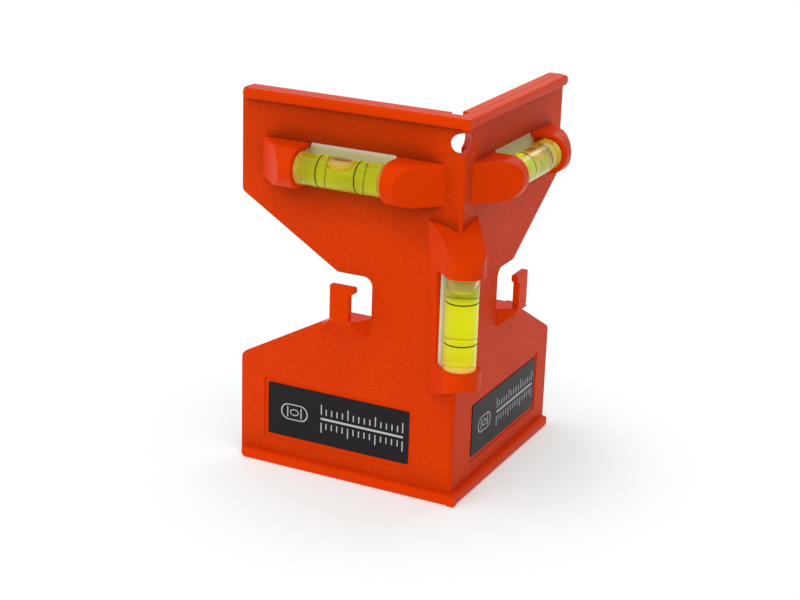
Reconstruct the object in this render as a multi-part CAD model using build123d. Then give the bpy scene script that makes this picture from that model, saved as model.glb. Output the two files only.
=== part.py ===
from build123d import *
import os

# Angle level for posts: an orange moulded angle with three spirit vials.
# Millimetres, +Z up. The outer corner edge of the two plates is worked out at X = Y = 0,
# and finish() moves each piece to the part's own origin, under the middle of its box.
# The right wing faces +X and runs along +Y. The left wing is its mirror image and faces -Y.

# Whole object
wing_length = 79.8
corner_round = 1.4
overrun = 20.0

# Plates of the shell, the rib in their inner corner and the plates behind them
shell_thickness = 1.1
corner_rib_thickness = 2.6
corner_rib_clearance = 0.1
back_thickness = 3.5
back_corner_gap = 7.2
back_setback = 0.4
seam_chamfer = 0.15

# Lips along the top and the bottom edges
lip_height = 3.5
lip_reach = 2.35
lip_edge_round = 0.9
lip_end_round = 1.7
lip_step_round = 0.6
lip_end_setback = 0.9

# Outline of a wing from the floor up: foot, slope, notch, taper and head
foot_height = 37.7
slope_rise = 20.7
notch_height = 14.45
taper_rise = 22.15
head_height = 35.0
notch_distance = 30.8
notch_floor_length = 11.4
notch_roof_length = 12.8
taper_top_round = 2.0
taper_foot_round = 3.0
slope_foot_round = 3.0
notch_top_round = 3.2
notch_floor_round = 1.6

# Strap hook, outward from the notch's inner side and up from its floor
hook_gap = 5.55
hook_width = 7.15
hook_back_reach = 3.5
hook_front_reach = 5.7
hook_height = 11.8
hook_barb = 1.9
hook_barb_depth = 1.9
hook_throat_drop = 1.2
hook_round = 0.5
hook_tip_round = 0.6
hook_edge_round = 0.5

# Bracket under the hook, wider than the hook by a spread on each side
bracket_foot_depth = 6.4
bracket_foot_inner_spread = 4.45
bracket_foot_outer_spread = 6.0
bracket_nose_inner_spread = 1.0
bracket_nose_outer_spread = 0.3
bracket_nose_depth = 1.2

# Hanging hole through the corner
hang_hole_radius = 3.5
hang_hole_drop = 8.5

# One vial, the same on both wings and on the corner
vial_radius = 5.3
vial_length = 36.0
vial_wall = 0.95
vial_barrel_rise = 0.15
cavity_length = 29.0
plug_recess = 0.3
plug_clearance = 0.03
ring_spacing = 13.8
ring_width = 0.5
ring_depth = 0.2
ring_clearance = 0.03
fluid_clearance = 0.04

# Bubbles
bubble_length = 9.8
bubble_width = 7.8
bubble_level = 1.9
bubble_belly = 1.1
bubble_film = 0.1
bubble_margin = 0.25
bubble_gap = 0.06
upright_bubble_height = 4.9
upright_bubble_dome = 1.5

# Pods that hold the ends of a vial
pod_radius = 7.05
pod_flank = 6.9
pod_window = 31.2
pod_foot_length = 66.0
pod_crest_length = 40.6
pod_edge_round = 1.2
pod_rim_round = 0.9
vial_clearance = 0.1

# Vials on the wings
wing_vial_drop = 22.6
wing_vial_distance = 39.2
wing_vial_reach = 5.35
wing_vial_offset = 0.8

# White strips behind the vials
backing_height = 14.5
backing_thickness = 1.5
backing_depth = 0.8
backing_clearance = 0.05
backing_round = 1.2

# Pads on the back plates that press on the inner end of each wing vial
pad_length = 1.5
pad_clearance = 0.05

# Vial on the corner, measured outward along the diagonal from the corner edge
corner_vial_reach = 3.35
corner_flank = 6.35
corner_bed_setback = 2.25
corner_backing_thickness = 1.4
brow_above_mid = 20.3
brow_round = 0.7
valley_above_mid = 27.6
peak_above_mid = 31.0
peak_half_width = 8.35
flare_below_mid = 5.0
sill_below_mid = 21.3
foot_below_mid = 28.3

# Labels in shallow recesses
label_thickness = 0.3
label_recess_depth = 0.4
label_length = 53.4
label_height = 18.7
label_margin = 1.5
label_round = 0.6
label_distance = 42.6
label_mid_height = 19.7

# Worked out from the sizes above
notch_floor_height = foot_height + slope_rise
notch_top_height = notch_floor_height + notch_height
taper_top_height = notch_top_height + taper_rise
body_height = taper_top_height + head_height
slope_head_distance = notch_distance + notch_floor_length
taper_foot_distance = notch_distance + notch_roof_length
hook_inner_distance = notch_distance + hook_gap
hook_outer_distance = hook_inner_distance + hook_width
hook_tip_distance = hook_inner_distance - hook_barb
hook_top_height = notch_floor_height + hook_height
hook_tip_height = hook_top_height - hook_barb_depth
hook_throat_height = hook_tip_height - hook_throat_drop
bracket_foot_height = notch_floor_height - bracket_foot_depth
hang_hole_height = body_height - hang_hole_drop
wall_thickness = shell_thickness + back_thickness
bore_radius = vial_radius - vial_wall
cavity_end_radius = bore_radius - vial_barrel_rise
seat_radius = vial_radius + vial_clearance
bubble_radius = cavity_end_radius - bubble_film
wing_vial_height = body_height - wing_vial_drop
wing_reach = wing_vial_reach + pod_radius
corner_mid_height = body_height / 2
corner_reach = corner_vial_reach + pod_radius
seat_length = vial_length + 2 * vial_clearance
tongue_end = wing_vial_offset + vial_length / 2
origin_shift = (wing_length - wing_reach) / 2

# Frames: local X runs across, local Y is up and local Z points outward
WING = Plane(origin=(0, 0, 0), x_dir=(0, 1, 0), z_dir=(1, 0, 0))
CORNER = Plane(origin=(0, 0, 0), x_dir=(1, 1, 0), z_dir=(1, -1, 0))
DIAGONAL = Plane(origin=(0, 0, 0), z_dir=(1, 1, 0))


def slab(low, high):
    """A box between two opposite corners."""
    size = [h - l for l, h in zip(low, high)]
    middle = [(h + l) / 2 for l, h in zip(low, high)]
    return Pos(*middle) * Box(*size)


def prism(points, radii, start, end):
    """An outline in local X and Y, rounded at its points, from one local Z to another."""
    outline = make_face(FilletPolyline(*points, radius=radii, close=True))
    return extrude(Pos(0, 0, start) * outline, amount=end - start)


def side_prism(points, half_width):
    """An outline given as (outward, up), drawn out to both sides along local X."""
    corners = [(0, up, out) for out, up in points]
    outline = make_face(Polyline(*corners, close=True))
    return extrude(outline, amount=half_width, dir=(1, 0, 0), both=True)


def plan_prism(points, bottom, top):
    """An outline given as (across, outward), drawn up from one local Y to another."""
    corners = [(across, bottom, out) for across, out in points]
    outline = make_face(Polyline(*corners, close=True))
    return extrude(outline, amount=top - bottom, dir=(0, 1, 0))


def along_x(radius, start, end):
    """A cylinder on the local X axis."""
    turned = Rot(0, 90, 0) * Cylinder(radius, end - start)
    return Pos((start + end) / 2, 0, 0) * turned


def upright(shape):
    """Turns a shape drawn along local X so that it stands along local Y, open end up."""
    return Rot(0, 0, 90) * shape


def on_wings(shape):
    """The shape on the left wing and on the right wing."""
    right = WING.location * shape
    return mirror(right, about=DIAGONAL), right


def finish(name, shape):
    """Moves a piece to the part's origin and writes it."""
    placed = Pos(origin_shift, -origin_shift, 0) * shape
    solids = placed.solids()
    piece = solids[0] if len(solids) == 1 else Compound(children=solids)
    piece.label = name
    export_step(piece, f"parts/{name}.step")


def wing_outline(start, inset):
    """Outline points of a wing from a distance off the corner, drawn in round the notch."""
    floor = notch_floor_height - inset
    side = notch_distance - inset
    ceiling = notch_top_height + inset
    points = [
        (start, 0),
        (wing_length, 0),
        (wing_length, foot_height - inset),
        (slope_head_distance, floor),
        (side, floor),
        (side, ceiling),
        (taper_foot_distance, ceiling),
        (wing_length, taper_top_height + inset),
        (wing_length, body_height),
        (start, body_height),
    ]
    radii = [
        0,
        lip_end_round,
        slope_foot_round,
        0,
        notch_floor_round,
        notch_top_round,
        taper_foot_round,
        taper_top_round,
        lip_end_round,
        0,
    ]
    return points, radii


def wing_plate():
    """The shell's own plate on one wing, with its half of the corner rib."""
    points, radii = wing_outline(0, 0)
    rib_end = back_corner_gap - corner_rib_clearance
    rib = slab((0, 0, -corner_rib_thickness), (rib_end, body_height, 0))
    return prism(points, radii, -shell_thickness, 0) + rib


def lip(bottom, upper_round):
    """One lip, a bar with a rounded outer end."""
    top = bottom + lip_height
    end = wing_length - lip_end_setback
    points = [(0, bottom), (end, bottom), (end, top), (0, top)]
    bar = prism(points, [0, lip_end_round, upper_round, 0], 0, lip_reach)
    front = bar.faces().sort_by(Axis.Z)[-1]
    edges = [e for e in front.edges() if e.center().X > lip_reach]
    return fillet(edges, lip_edge_round)


def wing_pods():
    """Both pods of a wing vial, centred on the vial, before the vial's bore is cut."""
    foot = pod_foot_length / 2
    bar = wing_pod_bar(foot)
    crest = pod_crest_length / 2
    ends = [
        (-foot, -shell_thickness),
        (-foot, 0),
        (-crest, wing_reach),
        (crest, wing_reach),
        (foot, 0),
        (foot, -shell_thickness),
    ]
    shaped = bar & plan_prism(ends, -pod_radius, pod_radius)
    half = pod_window / 2
    window = slab((-half, -pod_radius, 0), (half, pod_radius, wing_reach))
    pods = soften(shaped, pod_edge_round) - window
    return round_rims(pods, Axis.X, -half, half, pod_rim_round)


def wing_pod_bar(half_length):
    """The arch of the wing pods as one long bar."""
    mid = wing_vial_reach
    round_front = Pos(0, 0, mid) * along_x(pod_radius, -half_length, half_length)
    low = (-half_length, -pod_flank, -shell_thickness)
    stem = slab(low, (half_length, pod_flank, mid))
    band = slab(low, (half_length, pod_flank, wing_reach))
    return (round_front + stem) & band


def soften(shape, radius):
    """Rounds the edges of a pod that stand clear of the plate."""
    edges = [e for e in shape.edges() if e.bounding_box().max.Z > radius]
    return fillet(edges, radius)


def round_rims(shape, axis, low, high, radius):
    """Rounds the rims that the window leaves on the pods, at two places along an axis."""
    rims = shape.edges().filter_by_position(axis, low, low)
    rims += shape.edges().filter_by_position(axis, high, high)
    open_rims = [e for e in rims if e.bounding_box().max.Z > radius]
    return fillet(open_rims, radius)


def wing_vial_cut():
    """Room for a wing vial: its bore, the way in from behind, and the window for its strip."""
    half_seat = seat_length / 2
    half_window = pod_window / 2
    back = -shell_thickness - overrun
    start = wing_vial_offset - half_seat
    end = wing_vial_offset + half_seat
    bore = Pos(0, 0, wing_vial_reach) * along_x(seat_radius, start, end)
    way_in = slab((start, -seat_radius, back), (end, seat_radius, wing_vial_reach))
    window = slab((-half_window, -pod_flank, back), (half_window, pod_flank, 0))
    strip_room = slab(
        (-half_window, -backing_height / 2 - backing_clearance, back),
        (half_window, backing_height / 2 + backing_clearance, 0),
    )
    return bore + way_in + window + strip_room


def hook():
    """Strap hook: a stem with a barb that points to the corner."""
    points = [
        (hook_inner_distance, bracket_foot_height),
        (hook_outer_distance, bracket_foot_height),
        (hook_outer_distance, hook_top_height),
        (hook_tip_distance, hook_top_height),
        (hook_tip_distance, hook_tip_height),
        (hook_inner_distance, hook_throat_height),
    ]
    radii = [0, 0, hook_round, hook_tip_round, hook_tip_round, hook_round]
    stem = prism(points, radii, hook_back_reach, hook_front_reach)
    low = (0, bracket_foot_height - overrun, hook_back_reach)
    below = slab(low, (wing_length, notch_floor_height, hook_front_reach))
    cut = stem - below
    front = cut.faces().sort_by(Axis.Z)[-1]
    edges = [e for e in front.edges() if e.center().Y > notch_floor_height + hook_edge_round]
    return fillet(edges, hook_edge_round)


def bracket():
    """Tapered bracket that carries the hook, cut off by the slope of the wing."""
    foot_inner = hook_inner_distance - bracket_foot_inner_spread
    foot_outer = hook_outer_distance + bracket_foot_outer_spread
    foot = rectangle_between(foot_inner, foot_outer, bracket_foot_height, notch_floor_height)
    nose_inner = hook_inner_distance - bracket_nose_inner_spread
    nose_outer = hook_outer_distance + bracket_nose_outer_spread
    nose_bottom = notch_floor_height - bracket_nose_depth
    nose = Pos(0, 0, hook_front_reach) * rectangle_between(
        nose_inner, nose_outer, nose_bottom, notch_floor_height
    )
    block = loft([foot.face(), nose.face()], ruled=True)
    above = [
        (slope_head_distance, notch_floor_height),
        (wing_length, foot_height),
        (wing_length, notch_floor_height),
    ]
    return block - prism(above, 0, -overrun, hook_front_reach + overrun)


def rectangle_between(left, right, bottom, top):
    """A rectangle between four limits."""
    middle = Pos((left + right) / 2, (bottom + top) / 2, 0)
    return middle * Rectangle(right - left, top - bottom)


def label_recess():
    """Shallow recess for a label."""
    length = label_length + 2 * label_margin
    height = label_height + 2 * label_margin
    left = label_distance - length / 2
    bottom = label_mid_height - height / 2
    points = [
        (left, bottom),
        (left + length, bottom),
        (left + length, bottom + height),
        (left, bottom + height),
    ]
    return prism(points, label_round, -label_recess_depth, overrun)


def label():
    """A label on the floor of its recess."""
    left = label_distance - label_length / 2
    bottom = label_mid_height - label_height / 2
    points = [
        (left, bottom),
        (left + label_length, bottom),
        (left + label_length, bottom + label_height),
        (left, bottom + label_height),
    ]
    floor = -label_recess_depth
    return prism(points, label_round, floor, floor + label_thickness)


def corner_housing():
    """Both pods of the corner vial and the bed between them, in the corner's frame."""
    mid = corner_mid_height
    low = mid - foot_below_mid - pod_radius
    high = mid + peak_above_mid + pod_radius
    round_front = Pos(0, 0, corner_vial_reach) * upright(along_x(pod_radius, low, high))
    # The wings fall away at 45 degrees, so a flank meets them as deep as it stands off the middle
    back = -peak_half_width
    stem = slab((-corner_flank, low, back), (corner_flank, high, corner_vial_reach))
    band = slab((-corner_flank, low, back), (corner_flank, high, corner_reach))
    body = (round_front + stem) & band
    body = body + corner_flare(high)
    body = round_brow(body - corner_roof(high))
    body = body - side_prism(corner_floor(low), corner_reach)
    half = pod_window / 2
    window_low = (-corner_reach, mid - half, -corner_bed_setback)
    return body - slab(window_low, (corner_reach, mid + half, corner_reach + overrun))


def corner_flare(high):
    """The upper pod's flanks, which spread towards the wings as they rise."""
    back = -peak_half_width
    front_edge = [(-corner_flank, corner_vial_reach), (corner_flank, corner_vial_reach)]
    narrow = front_edge + [(corner_flank, back), (-corner_flank, back)]
    wide = front_edge + [(peak_half_width, back), (-peak_half_width, back)]
    start = corner_mid_height - flare_below_mid
    end = corner_mid_height + peak_above_mid
    lower = make_face(Polyline(*[(x, start, z) for x, z in narrow], close=True))
    upper = make_face(Polyline(*[(x, end, z) for x, z in wide], close=True))
    return loft([lower.face(), upper.face()], ruled=True) + plan_prism(wide, end, high)


def corner_roof(high):
    """What is cut away above the upper pod, under one long curve from its peaks to its brow."""
    mid = corner_mid_height
    peak = (0, mid + peak_above_mid, -peak_half_width)
    valley = (0, mid + valley_above_mid, 0)
    brow = (0, mid + brow_above_mid, corner_reach)
    beyond = corner_reach + pod_radius
    behind = -peak_half_width - pod_radius
    outline = [
        ThreePointArc(peak, valley, brow),
        Polyline(
            brow,
            (0, mid + brow_above_mid, beyond),
            (0, high + pod_radius, beyond),
            (0, high + pod_radius, behind),
            (0, mid + peak_above_mid, behind),
            peak,
        ),
    ]
    return extrude(make_face(outline), amount=corner_reach, dir=(1, 0, 0), both=True)


def round_brow(body):
    """Rounds the front edge of the roof over the upper pod."""
    lowest = corner_mid_height + brow_above_mid - brow_round
    edges = [e for e in body.edges() if e.center().Z > corner_flank]
    return fillet([e for e in edges if e.bounding_box().min.Y > lowest], brow_round)


def corner_floor(low):
    """What is cut away below the lower pod, as (outward, up)."""
    mid = corner_mid_height
    return [
        (-corner_flank, mid - foot_below_mid),
        (corner_reach, mid - sill_below_mid),
        (corner_reach + pod_radius, mid - sill_below_mid),
        (corner_reach + pod_radius, low - pod_radius),
        (-peak_half_width - pod_radius, low - pod_radius),
        (-peak_half_width - pod_radius, mid - foot_below_mid),
    ]


def corner_vial_cut():
    """Room for the corner vial and its strip, open to the inner corner."""
    mid = corner_mid_height
    half = seat_length / 2
    bore = Pos(0, 0, corner_vial_reach) * upright(along_x(seat_radius, mid - half, mid + half))
    back = -wall_thickness - overrun
    way_in = slab((-seat_radius, mid - half, back), (seat_radius, mid + half, corner_vial_reach))
    return bore + way_in


def hang_hole():
    """Cylinder of the hanging hole, along the diagonal."""
    length = 2 * (corner_reach + overrun)
    return Pos(0, hang_hole_height, 0) * Cylinder(hang_hole_radius, length)


def frame_shell():
    """The moulded orange shell, in one piece."""
    wing = wing_plate() + lip(0, lip_step_round) + lip(body_height - lip_height, lip_end_round)
    left, right = on_wings(wing)
    plates = left + right + lip_corner(0) + lip_corner(body_height - lip_height)
    plates = round_corner(plates)
    place = Pos(wing_vial_distance, wing_vial_height, 0)
    left, right = on_wings(place * wing_pods() + bracket() + hook())
    left_cut, right_cut = on_wings(place * wing_vial_cut() + label_recess())
    wings = plates + left + right - left_cut - right_cut
    post_side = slab(
        (-wing_length - overrun, shell_thickness, -overrun),
        (-shell_thickness, wing_length + overrun, body_height + overrun),
    )
    housing = CORNER.location * corner_housing() - post_side
    shell = wings + housing
    shell = shell - CORNER.location * corner_vial_cut() - CORNER.location * hang_hole()
    return shell


def round_corner(plates):
    """Rounds the corner edge of the plates between the two lips."""
    upright_edges = plates.edges().filter_by(Axis.Z)
    tall = [e for e in upright_edges if e.length > lip_height]
    near = [e for e in tall if abs(e.center().X) + abs(e.center().Y) < corner_round]
    return fillet(near, corner_round)


def lip_corner(bottom):
    """The square where the two lips meet at the corner."""
    return slab((0, -lip_reach, bottom), (lip_reach, 0, bottom + lip_height))


def back_plate():
    """Flat plate behind one wing, with the pad that presses on the inner end of its vial."""
    points, radii = wing_outline(back_corner_gap, back_setback)
    plate = prism(points, radii, -wall_thickness, -shell_thickness)
    seam = plate.faces().sort_by(Axis.Z)[-1]
    plate = chamfer(seam.edges(), seam_chamfer)
    half_window = pod_window / 2
    half_strip = backing_height / 2 + backing_clearance
    strip_back = -backing_depth - backing_thickness
    strip_room = slab((-half_window, -half_strip, strip_back), (half_window, half_strip, 0))
    tongue_room = slab((0, -seat_radius, strip_back), (tongue_end + backing_clearance, seat_radius, 0))
    pad_top = wing_vial_reach - vial_radius - pad_clearance
    pad_start = wing_vial_offset - vial_length / 2
    pad = slab(
        (pad_start, -vial_radius, -shell_thickness),
        (pad_start + pad_length, vial_radius, pad_top),
    )
    place = Pos(wing_vial_distance, wing_vial_height, 0)
    return plate - place * (strip_room + tongue_room) + place * pad


def wing_backing():
    """White strip behind a wing vial, let into the back plate. Its tongue runs on under the outer pod."""
    half_height = backing_height / 2
    half_length = pod_window / 2 - backing_clearance
    half_tongue = seat_radius - backing_clearance
    back = -backing_depth - backing_thickness
    points = [
        (-half_length, -half_height),
        (half_length, -half_height),
        (half_length, half_height),
        (-half_length, half_height),
    ]
    strip = prism(points, backing_round, back, -backing_depth)
    tongue = slab((0, -half_tongue, back), (tongue_end, half_tongue, -backing_depth))
    return strip + tongue


def corner_backing():
    """White strip behind the corner vial, which closes the way in."""
    half_width = seat_radius - backing_clearance
    half_length = vial_length / 2
    front = -corner_bed_setback
    back = front - corner_backing_thickness
    return slab((-half_width, -half_length, back), (half_width, half_length, front))


def cavity(inset):
    """The barrel-shaped hollow of a vial, along local X, drawn in by an inset."""
    half = cavity_length / 2 - inset
    end = cavity_end_radius - inset
    middle = bore_radius - inset
    profile = make_face(
        [
            Line((-half, 0, 0), (-half, end, 0)),
            ThreePointArc((-half, end, 0), (0, middle, 0), (half, end, 0)),
            Line((half, end, 0), (half, 0, 0)),
            Line((half, 0, 0), (-half, 0, 0)),
        ]
    )
    return revolve(profile, axis=Axis.X)


def vial_tube():
    """Clear acrylic barrel, closed at one end, with a groove for each ring line."""
    half = vial_length / 2
    body = along_x(vial_radius, -half, half) - cavity(0)
    body = body - along_x(cavity_end_radius, cavity_length / 2, half + overrun)
    for side in (-1, 1):
        middle = side * ring_spacing / 2
        body = body - ring_band(middle, ring_width, vial_radius - ring_depth, vial_radius + overrun)
    return body


def ring_band(middle, width, inner, outer):
    """A flat ring round local X."""
    start = middle - width / 2
    end = middle + width / 2
    return along_x(outer, start, end) - along_x(inner, start, end)


def vial_plug():
    """Plug that closes the barrel's open end."""
    radius = cavity_end_radius - plug_clearance
    return along_x(radius, cavity_length / 2 + plug_clearance, vial_length / 2 - plug_recess)


def vial_rings():
    """The two ring lines, let into the barrel."""
    width = ring_width - 2 * ring_clearance
    inner = vial_radius - ring_depth + ring_clearance
    first = ring_band(-ring_spacing / 2, width, inner, vial_radius)
    second = ring_band(ring_spacing / 2, width, inner, vial_radius)
    return Compound(children=[first.solid(), second.solid()])


def lying_bubble(grow=0, reach=bubble_radius):
    """Bubble of a level vial: an oval lens under the top of the bore, grown all round."""
    half_length = bubble_length / 2 + grow
    half_width = bubble_width / 2 + grow
    plan = Plane.XZ.offset(-bubble_level) * Ellipse(half_length, half_width)
    column = extrude(plan, amount=reach, dir=(0, 1, 0))
    shares = (half_length / half_width, (bubble_belly + grow) / half_width, 1)
    ball = scale(Sphere(half_width), by=shares)
    core = along_x(reach, -half_length, half_length)
    return (column & core) + ((Pos(0, bubble_level, 0) * ball) & core)


def standing_bubble(grow=0, reach=bubble_radius, spare=bubble_margin):
    """Bubble of the upright vial: it fills the top of the bore and its underside is domed."""
    top = cavity_length / 2 - spare
    bottom = cavity_length / 2 - bubble_margin - upright_bubble_height - grow
    dome_radius = (reach**2 + upright_bubble_dome**2) / (2 * upright_bubble_dome)
    return along_x(reach, bottom, top) & (Pos(bottom + dome_radius, 0, 0) * Sphere(dome_radius))


def write_vial(side, place, bubble, pocket):
    """Writes the tube, plug, liquid, bubble and rings of one vial."""
    finish(f"{side}_vial_tube", place(vial_tube()))
    finish(f"{side}_vial_plug", place(vial_plug()))
    finish(f"{side}_vial_liquid", place(cavity(fluid_clearance) - pocket))
    finish(f"{side}_vial_bubble", place(bubble))
    finish(f"{side}_vial_rings", place(vial_rings()))


def on_wing_vial(side):
    """Gives the function that puts a shape at the vial of the left or the right wing."""
    middle = wing_vial_distance + wing_vial_offset
    centre = Pos(middle, wing_vial_height, wing_vial_reach)
    return lambda shape: on_wings(centre * shape)[side]


def on_corner_vial(shape):
    """Puts a shape at the vial on the corner."""
    return CORNER.location * (Pos(0, corner_mid_height, corner_vial_reach) * upright(shape))


def main():
    os.makedirs("parts", exist_ok=True)
    finish("frame_shell", frame_shell())
    hole = CORNER.location * hang_hole()
    left_plate, right_plate = on_wings(back_plate())
    finish("left_back_plate", left_plate - hole)
    finish("right_back_plate", right_plate - hole)
    left_label, right_label = on_wings(label())
    finish("left_label", left_label)
    finish("right_label", right_label)
    strip_place = Pos(wing_vial_distance, wing_vial_height, 0)
    left_strip, right_strip = on_wings(strip_place * wing_backing())
    finish("left_vial_backing", left_strip)
    finish("right_vial_backing", right_strip)
    finish("corner_vial_backing", CORNER.location * (Pos(0, corner_mid_height, 0) * corner_backing()))
    level_pocket = lying_bubble(bubble_gap, bore_radius)
    upright_pocket = standing_bubble(bubble_gap, bore_radius, 0)
    write_vial("left", on_wing_vial(0), lying_bubble(), level_pocket)
    write_vial("right", on_wing_vial(1), lying_bubble(), level_pocket)
    write_vial("corner", on_corner_vial, standing_bubble(), upright_pocket)


main()
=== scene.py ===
"""Angle level for posts: a moulded orange angle with three spirit vials, dressed for rendering.

The file is laid out as an add-on. Each group of pieces has an operator, the sizes and colours that
a user would change are properties, and main() runs the operators in order around the loaded frame.
Lengths are in metres, in the frame of the solid model: +Z is up, the corner points along +X-Y.
"""

import math

import bmesh
import bpy
from bpy.props import FloatProperty, FloatVectorProperty, IntProperty, PointerProperty
from mathutils import Matrix, Vector


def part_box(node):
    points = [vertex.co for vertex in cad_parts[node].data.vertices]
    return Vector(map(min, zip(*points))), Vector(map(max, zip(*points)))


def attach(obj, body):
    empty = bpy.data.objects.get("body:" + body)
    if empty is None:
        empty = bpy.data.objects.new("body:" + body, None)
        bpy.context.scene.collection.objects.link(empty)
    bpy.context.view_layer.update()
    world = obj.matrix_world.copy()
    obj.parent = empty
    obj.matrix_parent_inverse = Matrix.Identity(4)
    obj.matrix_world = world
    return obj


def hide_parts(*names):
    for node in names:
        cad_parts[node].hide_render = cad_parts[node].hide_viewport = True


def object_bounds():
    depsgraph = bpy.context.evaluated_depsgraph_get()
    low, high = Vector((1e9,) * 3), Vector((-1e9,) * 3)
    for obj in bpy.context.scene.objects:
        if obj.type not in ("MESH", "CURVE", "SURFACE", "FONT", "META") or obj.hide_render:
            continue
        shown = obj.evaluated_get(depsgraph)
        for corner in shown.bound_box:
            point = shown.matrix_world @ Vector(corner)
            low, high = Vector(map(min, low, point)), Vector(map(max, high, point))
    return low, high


bl_info = {
    "name": "Angle Level",
    "version": (1, 0, 0),
    "blender": (4, 5, 0),
    "location": "View3D > Sidebar > Angle Level",
    "description": "Dresses the solid model of an angle level with its vials, labels and plastics",
    "category": "Object",
}

MM = 0.001
SLANT = math.sqrt(0.5)
COLOUR_RANGE = {"subtype": "COLOR", "min": 0, "max": 1}
SIDES = ("left", "right", "corner")
# Each vial's direction, and the side of it where a lying bubble floats
VIAL_AXES = {
    "left": ((-1, 0, 0), (0, 0, 1)),
    "right": ((0, 1, 0), (0, 0, 1)),
    "corner": ((0, 0, 1), (-SLANT, -SLANT, 0)),
}
# Edges sharper than this stay sharp. Those of the bubbles stay soft for longer
SHARP_ANGLE = math.radians(35)
BUBBLE_SHARP_ANGLE = math.radians(60)

# From the model's axis to the face of each plate, and how near to it counts as on the face
PLATE_FACE = 33.7 * MM
FACE_REACH = 0.05 * MM
# Thickness of each plate, where its back plate starts from the corner, and the dirt in their seam
PLATE_THICKNESS = 1.1 * MM
BACK_PLATE_START = 7.2 * MM
SEAM_REACH = 0.16 * MM
SEAM_DARKNESS = 0.45

# Polished parts and then grained plates: brightness, roughness, index and strength of the grain
BRIGHTNESS = (1.03, 1.0)
ROUGHNESS = (0.4, 0.55)
INDEX = (1.19, 1.3)
GRAIN_STRENGTH = (0.05, 1.0)
PLASTIC_SHINE = "#FF7C38"
# How much lighter the peaks of the grain are than its middle, as a share per unit of height, and
# how much more of it is painted on the right plate, as painted sheen and shade of the light that
# only grazes it
GRAIN_CONTRAST = 0.75
GRAZED_GRAIN = 0.6
GRAIN_DETAIL = 3.0
GRAIN_ROUGHNESS = 0.6
GRAIN_MIDDLE = 0.5
# Width of the clouds in the colour, the part of their height that counts, and how bright they get
CLOUD_WIDTH = 25 * MM
CLOUD_SPAN = (0.3, 0.7)
CLOUD_BRIGHTNESS = (0.97, 1.03)
# How open a spot of a plate is where its painted shade starts and where it is deepest, and how deep
# it gets
OPENNESS = (0.97, 0.66)
DEEPEST_SHADE = 0.92
# Heights between which the shade sets in, and its share below them, where fewer parts stand out
SHADE_RISE = (76 * MM, 92 * MM)
LOW_SHADE = 0.3
# The right plate lies open to the light behind the camera, so it keeps less of that shade
RIGHT_SHADE = 0.6

# The corner strip's half width. The dye's light, painted as a yellow-green cast, crosses each strip
# up to these shares of its half width, fades out this far past the bore's ends, and each strip
# takes on its own share of it
CORNER_STRIP_HALF = 5.35 * MM
DYE_LIGHT_REACH = (0.745, 0.924)
DYE_LIGHT_END = (0.2 * MM, 1.2 * MM)
DYE_LIGHT_SHARE = {"left": 1.0, "right": 0.55, "corner": 1.0}

# The surfaces of the strips, the enamel of the ring lines, the labels' film and ink, and the paper
# of the floor: width of their pattern, how rough they are, and strength and depth of their bumps.
# The marks in the enamel, the flake in the ink and the fibre of the paper are really finer than a
# tenth of a millimetre, too fine to show, so they are drawn as coarse as they need to be
STRIP_WIDTH = 2 * MM
STRIP_ROUGHNESS = 0.4
STRIP_BUMP = (0.1, 0.02 * MM)
STRIP_EDGE = 0.1 * MM
ENAMEL_WIDTH = 0.6 * MM
ENAMEL_ROUGHNESS = (0.35, 0.6)
FILM_WIDTH = 6 * MM
FILM_ROUGHNESS = (0.34, 0.42)
FILM_BUMP = (0.15, 0.05 * MM)
INK_WIDTH = 0.3 * MM
INK_ROUGHNESS = (0.4, 0.55)
INK_METAL = 0.15
PAPER_WIDTH = 1.5 * MM
PAPER_BUMP = (0.02, 0.1 * MM)
# Index of the enamel and the film, which reflect little
DULL_INDEX = 1.2

# How strongly the barrel and the spirit bend light, and the colour of the light that they reflect
ACRYLIC_INDEX = 1.44
ACRYLIC_ROUGHNESS = 0.01
ACRYLIC_SHINE = "#FFF959"
SPIRIT_INDEX = 1.36
SPIRIT_SHINE = "#FFF300"
# Colour of the barrel's painted glow: the dye's light after it has run through the barrel
PIPED_GLOW = "#FFD665"
# Width of the edge of the upper pod's painted shade on the dye, and the painted glow that the dye
# gives in it
POD_SHADE_EDGE = 0.4 * MM
POD_SHADE_GLOW = 4.0
# How far plugs, ring lines and liquid lap over the wall round them, so that no air shows between
SEAM = 0.02 * MM
LIQUID_SEAM = 0.03 * MM

# Share of a bubble's skin that is painted reflection, which looks milky, and its painted colour in
# the middle, at the rim, where the dye shows, and along the crest
PAINTED_REFLECTION_SHARE = 0.46
PAINTED_REFLECTION = "#D4B4AE"
PAINTED_RIM = "#D9A21C"
PAINTED_CREST = "#6E4630"
# Where the rim starts and is full, as shares of the half sizes, and the same in depth for the crest
RIM_START = (0.72, 0.9)
CREST_DROP = (0.2 * MM, 0.12 * MM)
# How far a lying bubble's roof comes down towards its ends, and the rounding of the upright bubble
ROOF_FALL = 0.12 * MM
UPRIGHT_ROUND = 0.5 * MM

# Thickness of the print, and how deep it sinks into the film
PRINT_THICKNESS = 0.02 * MM
PRINT_SINK = 0.01 * MM
# Where the scale starts from the label's middle, and its ticks' gap from the line and lengths
SCALE_START = -6.3 * MM
TICK_GAP = 1.1 * MM
TALL_TICK = 3.6 * MM
SHORT_TICK = 2.2 * MM
TICKS_PER_TALL = 5
# The sign's place, half length and end radius, and places and half sizes of its lines and bubble
SIGN_PLACE = -16.5 * MM
SIGN_HALF = 5.2 * MM
SIGN_RADIUS = 2.9 * MM
SIGN_LINE_PLACE = 2.6 * MM
SIGN_LINE = (0.2 * MM, 1.9 * MM)
SIGN_BUBBLE = (1.7 * MM, 1.2 * MM)
# Widths of the ticks, the sign's outline and its bubble's outline, as shares of the line's width
TICK_WIDTH = 0.55
SIGN_WIDTH = 0.6
SIGN_BUBBLE_WIDTH = 0.45

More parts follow.
